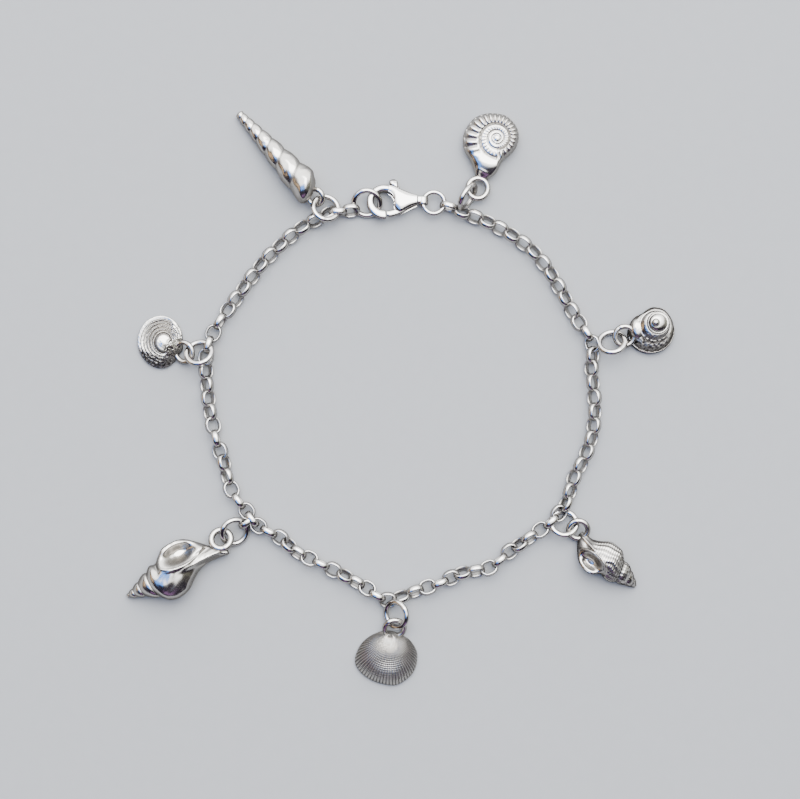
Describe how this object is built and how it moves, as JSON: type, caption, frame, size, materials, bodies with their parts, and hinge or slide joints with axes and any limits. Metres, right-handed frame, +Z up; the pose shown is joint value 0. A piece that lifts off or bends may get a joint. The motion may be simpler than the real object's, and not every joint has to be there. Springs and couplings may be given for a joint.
{
  "type": "shell anklet",
  "caption": "Silver belcher-chain anklet with cast shell charms on jump rings and a sprung hook clasp, lying fastened in a loop.",
  "frame": {"origin": "middle of the ground that the anklet covers, on the table that it lies on", "axes": "+Z up out of the table, +Y toward the clasp, along the anklet's longest side"},
  "size_m": [0.1066, 0.112, 0.0058],
  "materials": {
    "chain_silver": "sterling silver, barrel polished, worn bright",
    "polished_silver": "sterling silver wire, hand polished",
    "cast_silver": "cast sterling silver, tumbled bright, darkened in the recesses"
  },
  "bodies": {
    "root": {"link_catch": "chain_silver", "link_auger": "chain_silver", "link_auger_beside": "chain_silver", "link_auger_after": "chain_silver", "link_clasp": "chain_silver", "link_ammonite": "chain_silver", "link_clam": "chain_silver", "link_clam_after": "chain_silver", "link_top_shell": "chain_silver", "link_whelk_before": "chain_silver", "link_whelk": "chain_silver", "link_whelk_middle": "chain_silver", "link_whelk_after": "chain_silver", "link_cockle": "chain_silver", "link_cockle_after": "chain_silver", "link_netted": "chain_silver", "link_netted_after": "chain_silver", "chain_auger_to_clam": "chain_silver", "chain_clam_to_whelk": "chain_silver", "chain_whelk_to_cockle": "chain_silver", "chain_cockle_to_netted": "chain_silver", "chain_netted_to_top_shell": "chain_silver", "chain_top_shell_to_ammonite": "chain_silver", "jump_ring_auger": "polished_silver", "jump_ring_ammonite": "polished_silver", "jump_ring_clam": "polished_silver", "jump_ring_top_shell": "polished_silver", "jump_ring_whelk": "polished_silver", "jump_ring_cockle": "polished_silver", "jump_ring_netted_whelk": "polished_silver", "catch_ring": "polished_silver", "clasp_ring": "polished_silver", "auger_charm": "cast_silver", "ammonite_charm": "cast_silver", "clam_charm": "cast_silver", "top_shell_charm": "cast_silver", "whelk_charm": "cast_silver", "cockle_charm": "cast_silver", "netted_whelk_charm": "cast_silver", "clasp_body": "cast_silver"},
    "clasp_lever": {"clasp_lever": "polished_silver"}
  },
  "joints": [
    {"name": "lever_pivot", "type": "hinge", "parent": "root", "child": "clasp_lever", "pos_m": [0.00025, 0.03689, 0.00178], "axis": [0, -0.1392, -0.9903], "range_deg": [0, 25], "stiffness_Nm_per_rad": 0.001, "springref_deg": -5.73}
  ]
}
